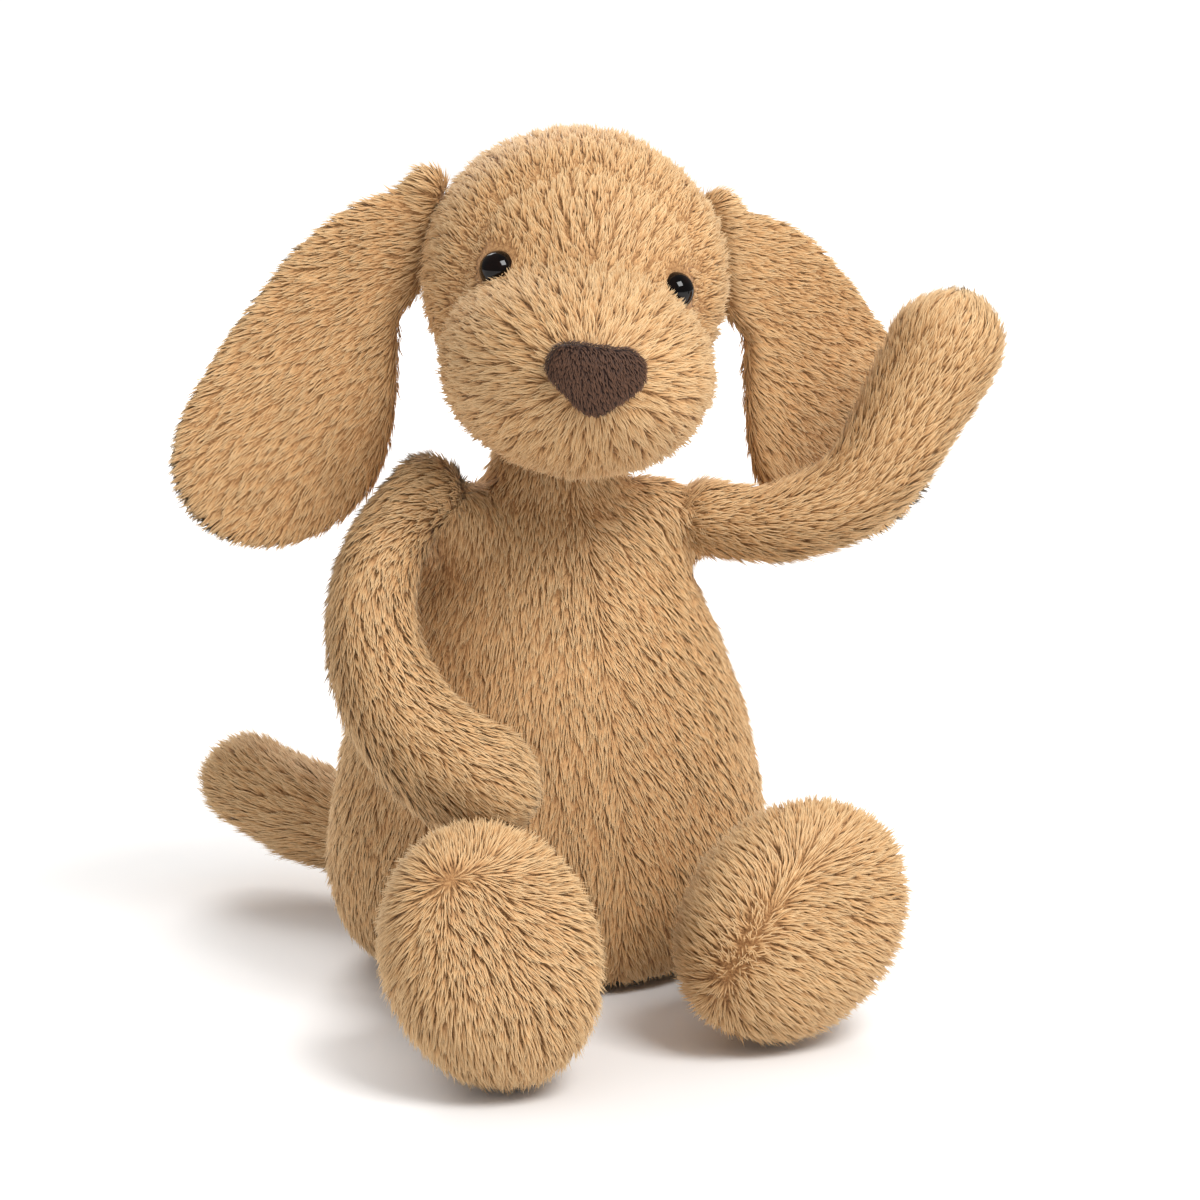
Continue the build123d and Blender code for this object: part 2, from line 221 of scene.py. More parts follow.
def twisted_thread(name):
    """Bonded polyester thread drawn up in a gathered seam: a fine diagonal twist, each turn drawn
    at about 0.5 mm, coarser than it is, so that it shows."""
    made, tree, shader = material(name, 0.7, 1.5, Sheen_Weight=0.2)
    patterned(tree, shader, "ShaderNodeTexWave", {"Scale": 700.0, "Distortion": 1.5},
              [(0.0, "#8F6238"), (1.0, "#C2935C")], bands_direction="DIAGONAL")
    return made


def woven_satin(name):
    """Woven polyester satin ribbon for the care tag: its long floats, drawn 0.35 mm apart so that
    they show, give a soft sheen."""
    made, tree, shader = material(name, 0.35, 1.5, Sheen_Weight=0.3)
    floats = patterned(tree, shader, "ShaderNodeTexWave", {"Scale": 900.0, "Distortion": 0.4},
                       [(0.0, "#E9E4DA"), (1.0, "#F8F5EE")], bands_direction="X")
    embossed(tree, shader, floats, 0.3, 0.05 * mm)
    return made


# each pile's first two colours, root and shade, are painted shade low in its locks
toffee_pile = plush_pile("toffee plush pile", "#8E5D35", "#BA8854", "#DCAE78", "#F0D0A0", 0.2)
# each backing's colours are its own gold darkened with painted shade, matching the roots of its pile
toffee_backing = knitted_backing("toffee plush backing", "#95673B", "#BE8F5C")
nose_pile = plush_pile("cocoa plush pile", "#1E0F07", "#382114", "#553521", "#714D36", 0.1)
nose_backing = knitted_backing("cocoa plush backing", "#2A160E", "#432619")
black_eye = polished_plastic("polished acrylic", "#050303", "#160A06")
nylon_washer = moulded_washer("moulded nylon")
seam_thread = twisted_thread("bonded thread")
ribbon_satin = woven_satin("woven satin")

# ---------------------------------------------------------------- stuffed forms

cloth_frames = 20
filling_pressure = 4.0


def outer_shell(bm):
    """Only the outermost closed surface is kept."""
    left, islands = set(bm.verts), []
    while left:
        stack, island = [left.pop()], []
        while stack:
            v = stack.pop()
            island.append(v)
            for e in v.link_edges:
                o = e.other_vert(v)
                if o in left:
                    left.discard(o)
                    stack.append(o)
        islands.append(island)
    islands.sort(key=lambda i: max(v.co.z for v in i) - min(v.co.z for v in i), reverse=True)
    spare = [v for island in islands[1:] for v in island]
    bmesh.ops.delete(bm, geom=spare, context="VERTS")


def inflate(obj, seams, cap):
    """The filling presses the cloth out between its sewn seams, which hold it in: a pressure cloth,
    applied, by at most cap."""
    before = points_of(obj)
    held = obj.vertex_groups.new(name="seam")
    held.add([i for i, p in enumerate(before / mm) if seams(p)], 1.0, "REPLACE")
    cloth = obj.modifiers.new("cloth", "CLOTH")
    cloth.settings.use_pressure = True
    cloth.settings.uniform_pressure_force = filling_pressure
    cloth.settings.effector_weights.gravity = 0.0
    cloth.settings.vertex_group_mass = "seam"
    cloth.point_cache.frame_end = cloth_frames
    for frame_number in range(1, cloth_frames + 1):
        scene.frame_set(frame_number)
    after = points_of(obj.evaluated_get(bpy.context.evaluated_depsgraph_get()))
    obj.modifiers.clear()
    scene.frame_set(1)
    move = after - before
    far = np.maximum(np.linalg.norm(move, axis=1, keepdims=True), 1e-9)
    obj.data.vertices.foreach_set("co", (before + move * np.minimum(1, cap / far)).ravel())
    obj.data.update()
    obj.vertex_groups.clear()


def smooth(bm):
    bmesh.ops.smooth_vert(bm, verts=bm.verts, factor=0.5, use_axis_x=True, use_axis_y=True, use_axis_z=True)


def stuffed(name, nodes, voxel, tuck, fabric, smoothing=4, balls=(), seams=None, cap=0):
    """One closed padded form round these panels and their filling, drawn in by tuck for the pile."""
    bm = bmesh.new()
    for node in nodes:
        bm.from_mesh(frame["nodes"][node].data)
    bmesh.ops.remove_doubles(bm, verts=bm.verts, dist=0.001 * mm)
    for centre, radius in balls:
        place = Matrix.Translation(Vector(centre) * mm)
        bmesh.ops.create_icosphere(bm, subdivisions=3, radius=radius * mm, matrix=place)
    mesh = bpy.data.meshes.new(name)
    bm.to_mesh(mesh)
    bm.free()
    obj = link_object(name, mesh)
    remesh = obj.modifiers.new("remesh", "REMESH")
    remesh.mode = "VOXEL"
    remesh.voxel_size = voxel
    settle(obj)
    bm = bmesh.new()
    bm.from_mesh(obj.data)
    outer_shell(bm)
    for _ in range(smoothing):
        smooth(bm)
    bm.normal_update()
    for v in bm.verts:
        v.co -= v.normal * tuck
    smooth(bm)
    bmesh.ops.recalc_face_normals(bm, faces=bm.faces)
    bm.to_mesh(obj.data)
    bm.free()
    if seams:
        inflate(obj, seams, cap)
    obj.data.shade_smooth()
    obj.data.materials.clear()
    obj.data.materials.append(fabric)
    return obj


def tree_of(mesh):
    return BVHTree.FromPolygons([v.co for v in mesh.vertices], [tuple(p.vertices) for p in mesh.polygons])


def panel_trees(names):
    return {n: tree_of(frame["nodes"][n].data) for n in names}


def store(obj, name, kind, values):
    attribute = obj.data.attributes.new(name, kind, "POINT")
    key = "vector" if kind == "FLOAT_VECTOR" else "value"
    attribute.data.foreach_set(key, np.asarray(values, np.float32).ravel())


# ---------------------------------------------------------------- the pile

lock_swell = 0.36  # share of its length where a lock is widest
lock_curl = 1.8  # how far its tip curls over, in lock widths
lock_flat = (0.6, 1.15, 1.0)  # its thickness, its width and its length, of the sizes that it is given
lock_sizes = (0.78, 1.22)  # the shortest and the longest lock
closest = 0.72  # how near two locks may stand, of the spacing
stray_lean = (0.14,) * 3  # how far one lock leans away from the rest
drift_scale, tone_scale = 90.0, 70.0  # the pile wanders over 11 mm, and its tone over 14 mm
tone_window = 0.035  # the share of the map's width that one lock takes
softness = 0.8  # how far a lock takes the shading of the cloth under it, as deep pile does
pressed = 0.1 * mm  # the pile is pressed flat at this height, where it stands on the floor


def fibre_lock(name):
    """One lock of fibre: a closed spindle from its root at the origin up Z, curling towards X, flat
    side outwards."""
    bm = bmesh.new()
    bmesh.ops.create_cone(bm, cap_ends=True, segments=3, radius1=0.5, radius2=0.02, depth=1 - lock_swell)
    bmesh.ops.remove_doubles(bm, verts=bm.verts, dist=0.1)
    bmesh.ops.translate(bm, verts=bm.verts, vec=(0, 0, (1 + lock_swell) / 2))
    base = [f for f in bm.faces if f.calc_center_median().z < lock_swell + 0.01]
    root = bmesh.ops.poke(bm, faces=base)["verts"]
    bmesh.ops.translate(bm, verts=root, vec=(0, 0, -lock_swell))
    ridge = max((v for v in bm.verts), key=lambda v: Vector((v.co.x, v.co.y)).length).co
    turned = Matrix.Rotation(math.pi - math.atan2(ridge.y, ridge.x), 3, "Z")
    bmesh.ops.rotate(bm, verts=bm.verts, matrix=turned)
    bmesh.ops.scale(bm, verts=bm.verts, vec=lock_flat)
    bmesh.ops.recalc_face_normals(bm, faces=bm.faces)
    bm.verts.index_update()
    across = [(0.5 + v.co.y, v.co.z, 0.0) for v in bm.verts]
    for v in bm.verts:
        v.co.x += lock_curl * v.co.z ** 2
    mesh = bpy.data.meshes.new(name)
    bm.to_mesh(mesh)
    bm.free()
    mesh.shade_smooth()
    obj = link_object(name, mesh)
    store(obj, "lock", "FLOAT_VECTOR", across)
    obj.hide_render = True
    return obj


def pile_tree(lock, seed, spacing, width, length, rise, clump, pull, wander):
    """Geometry nodes: locks set evenly on the cloth, laid along the nap, drawn together in small clumps."""
    tree = bpy.data.node_groups.new("pile", "GeometryNodeTree")
    for way in ("INPUT", "OUTPUT"):
        tree.interface.new_socket("Geometry", in_out=way, socket_type="NodeSocketGeometry")
    cloth = tree.nodes.new("NodeGroupInput").outputs[0]
    vector_math, named, stored = ("ShaderNodeVectorMath", "GeometryNodeInputNamedAttribute",
                                  "GeometryNodeStoreNamedAttribute")
    cover = add(tree, named, {"Name": "cover"}, data_type="FLOAT").outputs["Attribute"]
    nap = add(tree, named, {"Name": "nap"}, data_type="FLOAT_VECTOR").outputs["Attribute"]
    loft = add(tree, named, {"Name": "loft"}, data_type="FLOAT").outputs["Attribute"]
    spread = add(tree, "GeometryNodeDistributePointsOnFaces",
                 {"Mesh": cloth, "Distance Min": spacing * closest, "Density Max": 1 / spacing ** 2,
                  "Density Factor": cover, "Seed": seed}, distribute_method="POISSON")

    # the way each lock leans: the nap, drawn to the middle of its clump, drifting and straying
    here = add(tree, "GeometryNodeInputPosition").outputs["Position"]
    cells = add(tree, "ShaderNodeTexVoronoi", {"Vector": here, "Scale": 1 / clump, "Randomness": 1.0})
    inward = add(tree, vector_math, {0: cells.outputs["Position"], 1: here},
                 operation="SUBTRACT").outputs[0]
    inward = add(tree, vector_math, {0: inward, "Scale": pull / clump}, operation="SCALE").outputs[0]
    drift = add(tree, "ShaderNodeTexNoise",
                {"Vector": here, "Scale": drift_scale, "Detail": 1.0}).outputs["Color"]
    drift = add(tree, vector_math, {0: drift, 1: (0.5, 0.5, 0.5)}, operation="SUBTRACT").outputs[0]
    drift = add(tree, vector_math, {0: drift, "Scale": wander * 2}, operation="SCALE").outputs[0]
    stray = add(tree, "FunctionNodeRandomValue",
                {"Min": tuple(-s for s in stray_lean), "Max": stray_lean, "Seed": seed + 5},
                data_type="FLOAT_VECTOR").outputs["Value"]
    flow = nap
    for part in (inward, drift, stray):
        flow = add(tree, vector_math, {0: flow, 1: part}, operation="ADD").outputs[0]
    stand = add(tree, vector_math, {0: spread.outputs["Normal"], "Scale": rise},
                operation="SCALE").outputs[0]
    upward = add(tree, vector_math, {0: stand, 1: flow}, operation="ADD").outputs[0]
    turn = add(tree, "FunctionNodeAxesToRotation", {"Primary Axis": upward, "Secondary Axis": flow},
               primary_axis="Z", secondary_axis="X").outputs["Rotation"]
    size = add(tree, "FunctionNodeRandomValue", {2: lock_sizes[0], 3: lock_sizes[1], "Seed": seed + 1},
               data_type="FLOAT").outputs[1]
    size = add(tree, "ShaderNodeMath", {0: size, 1: loft}, operation="MULTIPLY").outputs[0]
    tall = add(tree, "ShaderNodeMath", {0: size, 1: length}, operation="MULTIPLY").outputs[0]
    shape = add(tree, "ShaderNodeCombineXYZ", {"X": width, "Y": width, "Z": tall}).outputs[0]

    # its tone: the mean of a soft cloud, its clump's tone and its own
    cloud = add(tree, "ShaderNodeTexNoise",
                {"Vector": here, "Scale": tone_scale, "Detail": 2.0}).outputs["Fac"]
    own = add(tree, "FunctionNodeRandomValue", {2: 0.0, 3: 1.0, "Seed": seed + 2},
              data_type="FLOAT").outputs[1]
    cell_tone = add(tree, "ShaderNodeSeparateXYZ", {0: cells.outputs["Color"]}).outputs[0]
    tone = add(tree, "ShaderNodeMath", {0: cloud, 1: own}, operation="ADD").outputs[0]
    tone = add(tree, "ShaderNodeMath", {0: tone, 1: cell_tone}, operation="ADD").outputs[0]
    tone = add(tree, "ShaderNodeMath", {0: tone, 1: 0.333}, operation="MULTIPLY").outputs[0]
    toned = add(tree, stored, {"Geometry": spread.outputs["Points"], "Name": "tone", "Value": tone},
                data_type="FLOAT", domain="POINT")
    toned = add(tree, stored,
                {"Geometry": toned.outputs[0], "Name": "ground", "Value": spread.outputs["Normal"]},
                data_type="FLOAT_VECTOR", domain="POINT")

    shown = add(tree, "GeometryNodeObjectInfo", {"Object": lock}).outputs["Geometry"]
    planted = add(tree, "GeometryNodeInstanceOnPoints",
                  {"Points": toned.outputs[0], "Instance": shown, "Rotation": turn, "Scale": shape})
    grown = add(tree, "GeometryNodeRealizeInstances", {"Geometry": planted.outputs[0]}).outputs[0]
    strand = add(tree, named, {"Name": "lock"}, data_type="FLOAT_VECTOR").outputs["Attribute"]
    strand = add(tree, "ShaderNodeSeparateXYZ", {0: strand})
    own_tone = add(tree, named, {"Name": "tone"}, data_type="FLOAT").outputs["Attribute"]
    window = add(tree, "ShaderNodeMath", {0: strand.outputs["X"], 1: tone_window, 2: own_tone},
                 operation="MULTIPLY_ADD")
    place = add(tree, "ShaderNodeCombineXYZ", {"X": window.outputs[0], "Y": strand.outputs["Y"]}).outputs[0]
    mapped = add(tree, stored, {"Geometry": grown, "Name": "OFBake", "Value": place},
                 data_type="FLOAT2", domain="CORNER")
    add(tree, "NodeGroupOutput", {0: mapped.outputs[0]})
    return tree


def pile(name, skin, lock, fur, seed, panels=None, panel=None):
    """The coat on one panel: locks on the part of the skin nearest that panel of the CAD."""
    mesh = skin.data.copy()
    if panels:
        bm = bmesh.new()
        bm.from_mesh(mesh)
        elsewhere = []
        for f in bm.faces:
            middle = f.calc_center_median()
            if min(panels, key=lambda p: panels[p].find_nearest(middle)[3]) != panel:
                elsewhere.append(f)
        bmesh.ops.delete(bm, geom=elsewhere, context="FACES")
        bm.to_mesh(mesh)
        bm.free()
    made = link_object(name, mesh)
    tree = pile_tree(lock, seed, **{k: v for k, v in fur.items() if k != "fabric"})
    grow = made.modifiers.new("grow", "NODES")
    grow.node_group = tree
    settle(made)
    for v in made.data.vertices:
        if v.co.z < pressed:
            v.co.z = pressed
    ground = np.empty(len(made.data.vertices) * 3, np.float32)
    made.data.attributes["ground"].data.foreach_get("vector", ground)
    soft = unit(ground.reshape(-1, 3) * softness + normals_of(made) * (1 - softness))
    made.data.normals_split_custom_set_from_vertices([tuple(n) for n in soft])
    for spare in ("nap", "cover", "loft", "lock", "tone", "ground"):
        if spare in made.data.attributes:
            made.data.attributes.remove(made.data.attributes[spare])
    made.data.materials.clear()
    made.data.materials.append(fur["fabric"])
    bpy.data.node_groups.remove(tree)
    return made


def groom(skin, nap, lean, loft=1.0, cover=1.0):
    """Nap, loft and cover as attributes of the cloth; the nap lies in the surface, and its length
    is the lean."""
    p, n = points_of(skin) / mm, normals_of(skin)
    flow = nap(p)
    flow = unit(flow - (flow * n).sum(1, keepdims=True) * n)
    flow *= lean(p)[:, None] if callable(lean) else lean
    store(skin, "nap", "FLOAT_VECTOR", flow)
    store(skin, "loft", "FLOAT", np.broadcast_to(loft(p) if callable(loft) else loft, len(p)))
    store(skin, "cover", "FLOAT", np.broadcast_to(cover, len(p)))


def buried(skin, others, depth):
    """0 where the cloth lies deep inside a neighbour, 1 elsewhere."""
    trees = [tree_of(o.data) for o in others]
    shown = np.ones(len(skin.data.vertices))
    for i, v in enumerate(skin.data.vertices):
        for tree in trees:
            where, normal, _, far = tree.find_nearest(v.co)
            if (v.co - where).dot(normal) < 0 and far > depth:
                shown[i] = 0.0
                break
    return shown


def smooth_line(points, steps=12):
    """A smooth line through these points (Catmull-Rom), with each point's share of its length."""
    q = np.array(points, float)
    q = np.vstack([2 * q[0] - q[1], q, 2 * q[-1] - q[-2]])
    t = np.linspace(0, 1, steps, endpoint=False)[:, None]
    runs = [0.5 * (2 * b + (c - a) * t + (2 * a - 5 * b + 4 * c - d) * t ** 2
                   + (3 * b - a - 3 * c + d) * t ** 3) for a, b, c, d in zip(q, q[1:], q[2:], q[3:])]
    line = np.vstack([*runs, q[-2:-1]])
    along = np.concatenate([[0], np.cumsum(np.linalg.norm(np.diff(line, axis=0), axis=1))])
    return line, along / along[-1]


# ---------------------------------------------------------------- skins, in millimetres

arm_line = {
    "right": [(-36, -10, 122), (-52, -19, 107), (-58, -31, 88), (-54, -44, 72), (-39, -57, 59),
              (-29, -62, 54)],
    "left": [(37, -15, 112), (53, -27, 112), (69, -35, 121), (81, -39, 140), (90, -41, 158),
             (93, -42, 170)],
}
tail_line = [(-17, 51, 20), (-27, 69, 20), (-38, 88, 24), (-50, 111, 33)]
arm_size = [(0.0, 10.5), (0.35, 12.7), (0.7, 15.2), (1.0, 16.8)]  # share of the length, radius
elbow_share = (0.2, 0.54)  # the stretch of an arm's length that its elbow is filled out over
limb_roots = [(arm_line["right"][0], 10.6), (arm_line["left"][0], 10.6), (tail_line[0], 12.0)]
shoulder_filling = [((-26, -7, 114), 12.0), ((25, -8, 112), 12.5)]

seam_half = 1.6  # half the width of cloth that a row of stitches holds in
seat_seam, seat_held, shoulder_held = 5.0, 3.5, 112
neck_held, face_front = 140, -45
head_axis = (5.5, -4.0)  # the upright line that the head turns on
head_turned = math.radians(-18.0)
head_tuck = 3.0 * mm

sewn_reach = 9  # cloth this near to the ear's hinge is its sewn edge
ear_root_run = (6, 30)  # the stretch below the ear's top corner that is filled out
ear_root_radius, ear_root_taper = 7.6, 0.11
ear_root_inwards = 1.5
muzzle_seam_half, muzzle_seam_deep = 2.5, 1.4


def body_seam(p):
    """Stitched down the front, the back and both sides, and round the seat; held where the limbs
    are sewn on."""
    upright = min(abs(p[0]), abs(p[1])) < seam_half
    return upright or abs(p[2] - seat_seam) < seam_half or p[2] < seat_held or p[2] > shoulder_held


def head_seam(p):
    """Stitched over the middle of the head, and held at the neck."""
    across = (p[0] - head_axis[0]) * math.cos(head_turned) + (p[1] - head_axis[1]) * math.sin(head_turned)
    return p[2] < neck_held or abs(across) < seam_half and p[1] > face_front


def elbow_filling(line):
    """Balls along the elbow, so that the cloth runs on over it in one piece."""
    path, share = smooth_line(line)
    shares, radii = zip(*arm_size)
    return [(np.array([np.interp(s, share, path[:, k]) for k in range(3)]), np.interp(s, shares, radii))
            for s in np.linspace(*elbow_share, 18)]


def ear_root(side):
    """Balls along the sewn edge of an ear, about which it swings, so that its cloth runs into the head."""
    hinge = next(j for j in frame["joints"] if j["name"] == f"ear_{side}_swing")
    at, axis = np.array(hinge["pos_m"]) / mm, unit(np.array(hinge["axis"], float))
    p = points_of(frame["nodes"][f"ear_{side}_front_panel"]) / mm - at
    run = p @ axis
    sewn = run[np.linalg.norm(p - run[:, None] * axis, axis=1) < sewn_reach]
    inwards = unit((at - np.array([*head_axis, at[2]])) * np.array([-1.0, -1.0, 0.0]))
    top = sewn.max() if axis[2] > 0 else sewn.min()
    down = -math.copysign(1, axis[2])
    return [(at + axis * (top + down * t) + inwards * ear_root_inwards,
             ear_root_radius - ear_root_taper * t) for t in np.linspace(*ear_root_run, 13)]


def muzzle_edge(p):
    """How much nearer each point lies to the muzzle panel than to the cheeks: 0 along their seam."""
    trees = panel_trees(["muzzle_panel", "head_left_panel", "head_right_panel"])
    far = np.array([[trees[n].find_nearest(Vector(q) * mm)[3] / mm for n in trees] for q in p])
    return np.minimum(far[:, 1], far[:, 2]) - far[:, 0]


body_panels = ["seat_panel", "body_front_left_panel", "body_front_right_panel", "body_back_left_panel",
               "body_back_right_panel"]
head_panels = ["head_left_panel", "head_right_panel", "muzzle_panel"]
forms = {}
forms["body"] = stuffed("body_padding", [*body_panels, "body_stuffing", "bean_bag"], voxel=2.2 * mm,
                        tuck=2.8 * mm, fabric=toffee_backing, balls=limb_roots + shoulder_filling,
                        seams=body_seam, cap=2.5 * mm)
forms["head"] = stuffed("head_padding", [*head_panels, "head_stuffing"], voxel=2.0 * mm, tuck=head_tuck,
                        fabric=toffee_backing, seams=head_seam, cap=1.5 * mm)
for side in ("left", "right"):
    forms["ear_" + side] = stuffed(f"ear_{side}_cloth",
                                   [f"ear_{side}_front_panel", f"ear_{side}_back_panel"],
                                   voxel=1.5 * mm, tuck=2.2 * mm, fabric=toffee_backing, smoothing=3,
                                   balls=ear_root(side))
    forms["arm_" + side] = stuffed(f"arm_{side}_padding",
                                   [f"upper_arm_{side}_skin", f"upper_arm_{side}_stuffing",
                                    f"paw_{side}_skin", f"paw_{side}_stuffing"],
                                   voxel=1.8 * mm, tuck=2.9 * mm, fabric=toffee_backing,
                                   balls=elbow_filling(arm_line[side]))
    forms["leg_" + side] = stuffed(f"leg_{side}_padding",
                                   [f"thigh_{side}_skin", f"thigh_{side}_stuffing", f"foot_{side}_upper",
                                    f"foot_{side}_sole", f"foot_{side}_beans"],
                                   voxel=2.0 * mm, tuck=2.9 * mm, fabric=toffee_backing)
forms["tail"] = stuffed("tail_padding", ["tail_skin", "tail_stuffing"], voxel=1.8 * mm, tuck=3.2 * mm,
                        fabric=toffee_backing)
forms["nose"] = stuffed("nose_padding", ["nose"], voxel=0.6 * mm, tuck=-0.1 * mm, fabric=nose_backing,
                        smoothing=7)

# the stitches draw the cloth in round the muzzle
at_edge = np.exp(-((muzzle_edge(points_of(forms["head"]) / mm) / muzzle_seam_half) ** 2))
drawn_in = points_of(forms["head"]) - normals_of(forms["head"]) * (at_edge * muzzle_seam_deep * mm)[:, None]
forms["head"].data.vertices.foreach_set("co", drawn_in.ravel())
forms["head"].data.update()

# ---------------------------------------------------------------- nap of each part, in millimetres

middle = {node: np.array((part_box(node)[0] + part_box(node)[1]) / 2) / mm for node in frame["nodes"]}
nose_at = middle["nose"]
head_at = middle["head_stuffing"]
eyes = ("eye_left", "eye_right")
comb_left, comb_right = 0.45, 0.12  # how far the torso's nap leans away from its centre seam
eye_sweep, swept = 8.0, 0.8  # how near to an eye the pile is combed away from it, and how strongly
nose_loft, forehead_less, forehead_from = 1.2, 0.25, 28
seam_less, eye_less = 0.35, 0.7  # how much shorter the pile is there
back_from, back_nap = 8, (0, 0.2, -1.0)  # behind the middle of the head its nap turns to this
foot_lean, parting_reach, parting_lean = 0.85, 9, 0.2


def torso_nap(p):
    """Down the torso, combed a little away from the centre seam."""
    lean = np.where(p[:, 0] > 0, comb_left, comb_right) * np.sign(p[:, 0])
    return np.stack([lean, 0 * lean, -1 + 0 * lean], 1)


def beside(p, eye):
    """1 at an eye, falling to nothing beyond it."""
    return np.exp(-((np.linalg.norm(p - middle[eye], axis=1) / eye_sweep) ** 2))


def head_nap(p):
    """Radiating from the nose over the muzzle and the forehead, and down the back of the head."""
    behind = np.clip((p[:, 1] - head_at[1] - back_from) / 25, 0, 1)[:, None]
    flow = unit(p - nose_at) * (1 - behind) + np.array([back_nap]) * behind
    for eye in eyes:
        near = beside(p, eye)[:, None]
        flow = flow * (1 - swept * near) + unit(p - middle[eye]) * swept * near
    return flow


def head_loft(p):
    """Longest round the nose, shorter over the forehead and along the muzzle seam, and shortest
    beside the eyes."""
    far = np.clip((np.linalg.norm(p - nose_at, axis=1) - forehead_from) / 10, 0, 1)
    tall = (nose_loft - forehead_less * far) * (1 - seam_less * at_edge)
    for eye in eyes:
        tall = tall * (1 - eye_less * beside(p, eye))
    return tall


def away_from(point):
    return lambda p: unit(p - np.asarray(point, float))


def parting(start, end, lean):
    """The nap away from a straight parting, and its lean, which is less beside the parting."""
    a, b = np.asarray(start, float), np.asarray(end, float)

    def away(p):
        t = np.clip((p - a) @ (b - a) / max((b - a) @ (b - a), 1e-9), 0, 1)[:, None]
        return p - a - t * (b - a)
    return away, lambda p: lean * np.clip(np.linalg.norm(away(p), axis=1) / parting_reach, parting_lean, 1)


def along_line(points, source, reach=22.0):
    """Along a limb, from its root to its end; near the root it flows out of the body, away from source."""
    line = smooth_line(points)[0]
    a, b = line[:-1], line[1:]

    def nap(p):
        d = b - a
        t = np.clip(((p[:, None] - a) * d).sum(2) / (d * d).sum(1), 0, 1)
        nearest = a + t[..., None] * d
        which = np.argmin(((p[:, None] - nearest) ** 2).sum(2), axis=1)
        rooted = np.exp(-(((p - line[0]) ** 2).sum(1) / reach ** 2))[:, None]
        return unit(d)[which] * (1 - rooted) + unit(p - source) * rooted
    return nap


# each coat's spacing and width are those of its locks; rise is how far they stand up out of the nap,
# clump the size of the tufts, pull how far these draw together, wander how far the nap drifts
base_coat = {"spacing": 0.5 * mm, "width": 0.44 * mm, "length": 4.2 * mm, "rise": 0.42, "clump": 2.4 * mm,
             "pull": 0.3, "wander": 0.25, "fabric": toffee_pile}
coat = {
    "body": dict(base_coat, rise=0.3),
    "head": dict(base_coat, rise=0.48, length=4.0 * mm, clump=3.0 * mm, pull=0.45),
    "ear": dict(base_coat, rise=0.32, length=4.3 * mm),
    "arm": dict(base_coat, length=4.6 * mm),
    "leg": dict(base_coat, length=4.6 * mm, rise=0.5),
    "tail": dict(base_coat, length=5.4 * mm, rise=0.5),
    "nose": dict(base_coat, spacing=0.36 * mm, width=0.42 * mm, length=1.5 * mm, rise=0.9, clump=1.2 * mm,
                 fabric=nose_pile),
}
fibre = fibre_lock("fibre_lock")
limbs = ["arm_left", "arm_right", "leg_left", "leg_right", "tail"]
neighbours = {"body": ["head", *limbs], "head": ["body"], **{limb: ["body"] for limb in limbs},
              "ear_left": ["head"], "ear_right": ["head"], "nose": []}
bald_depth = 2.0 * mm  # no pile grows deeper than this inside a neighbour
cover = {name: buried(forms[name], [forms[o] for o in others], bald_depth)
         for name, others in neighbours.items()}

# the head's pile leaves room for the nose and the eyes
bare = 0.45 * head_tuck
on_face = panel_trees(["nose", *eyes])
for i, v in enumerate(forms["head"].data.vertices):
    if min(tree.find_nearest(v.co)[3] for tree in on_face.values()) < bare:
        cover["head"][i] = 0.0

shoulders = np.array([0.0, 0.0, 112.0])  # inside the body, between the arms
ear_nap = away_from(head_at + np.array([0, 6, 16]))
foot_at = {side: middle[f"foot_{side}_beans"] for side in ("left", "right")}
foot_parting = {"right": ((-14, -9, 26), (-6, -11, 27)), "left": ((-27, -14, -14), (-6, -22, 14))}
groom(forms["body"], torso_nap, 0.9, cover=cover["body"])
groom(forms["head"], head_nap, 0.8, loft=head_loft, cover=cover["head"])
for side in ("right", "left"):
    groom(forms["ear_" + side], ear_nap, 0.95, cover=cover["ear_" + side])
    groom(forms["arm_" + side], along_line(arm_line[side], shoulders), 0.85, cover=cover["arm_" + side])
    nap, lean = parting(*(foot_at[side] + np.array(end) for end in foot_parting[side]), foot_lean)
    groom(forms["leg_" + side], nap, lean, cover=cover["leg_" + side])
groom(forms["tail"], along_line(tail_line, middle["bean_bag"]), 0.9, cover=cover["tail"])
groom(forms["nose"], lambda p: np.array([[0.15, 0.0, -1.0]]) + 0 * p, 0.6)


seeds = iter(range(11, 500, 7))  # one for each coat


def coats(form, body, names, fur):
    """One coat for each panel of the form; each rides on the form's body and stands for its panel."""
    trees = panel_trees(names)
    for panel in names:
        name = panel.replace("_panel", "") + "_pile"
        made = pile(name, forms[form], fibre, fur, next(seeds), trees, panel)
        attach(made, body)
        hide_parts(panel)


coats("body", "body", body_panels, coat["body"])
coats("head", "head", head_panels, coat["head"])
for side in ("left", "right"):
    coats("ear_" + side, "ear_" + side, [f"ear_{side}_front_panel", f"ear_{side}_back_panel"], coat["ear"])


def finish_padding(form, body, stands_for):
    """The padded form itself, riding on its body, or left on its own where it has none."""
    skin = forms[form]
    for spare in ("nap", "cover", "loft"):
        skin.data.attributes.remove(skin.data.attributes[spare])
    if body:
        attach(skin, body)
    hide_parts(*stands_for)


finish_padding("body", "body", ["body_stuffing", "bean_bag"])
finish_padding("head", "head", ["head_stuffing"])
for side in ("left", "right"):
    finish_padding("ear_" + side, "ear_" + side, [])

